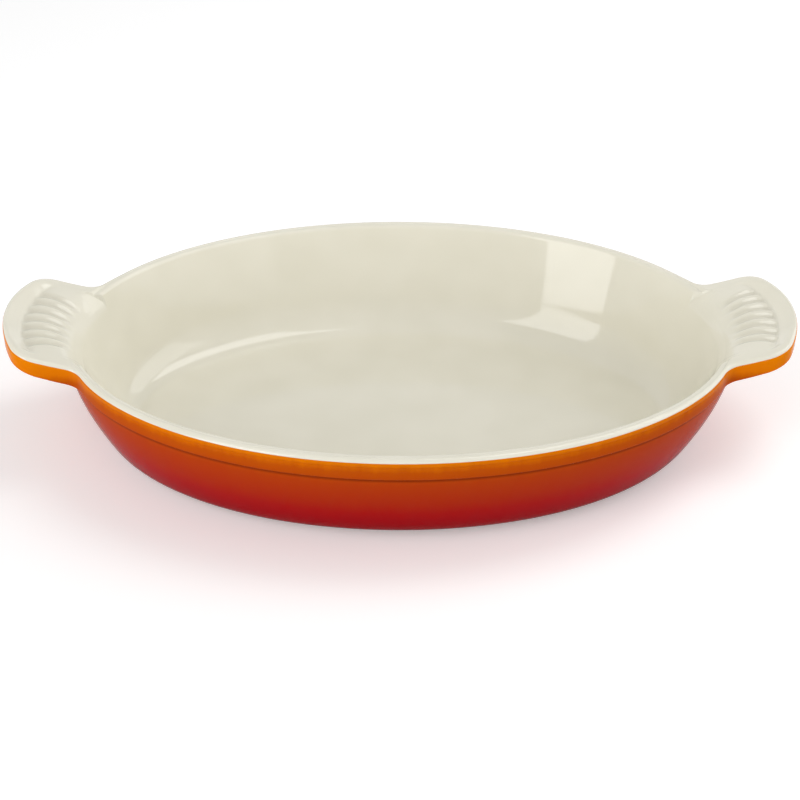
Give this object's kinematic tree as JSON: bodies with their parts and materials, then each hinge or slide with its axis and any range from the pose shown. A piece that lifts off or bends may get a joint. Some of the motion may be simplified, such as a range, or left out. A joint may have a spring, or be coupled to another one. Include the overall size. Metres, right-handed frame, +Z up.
{
  "type": "gratin dish",
  "caption": "Oval shallow gratin dish in enamelled cast iron, with a banded rim, a deep cove inside and a raised shell-shaped handle at each end.",
  "frame": {"origin": "centre of the base, on the surface that the dish stands on", "axes": "+X along the length, through the middle of one handle; +Y across the width; +Z up, out of the mouth"},
  "size_m": [0.356, 0.207, 0.0628],
  "materials": {
    "cast_iron": "as cast, rough",
    "ground_enamel": "satin",
    "cream_enamel": "glossy",
    "orange_enamel": "glossy, orange at the rim shading to deep red at the base"
  },
  "bodies": {
    "root": {"cast_iron_body": "cast_iron", "ground_coat": "ground_enamel", "interior_enamel": "cream_enamel", "exterior_enamel": "orange_enamel"}
  },
  "joints": []
}
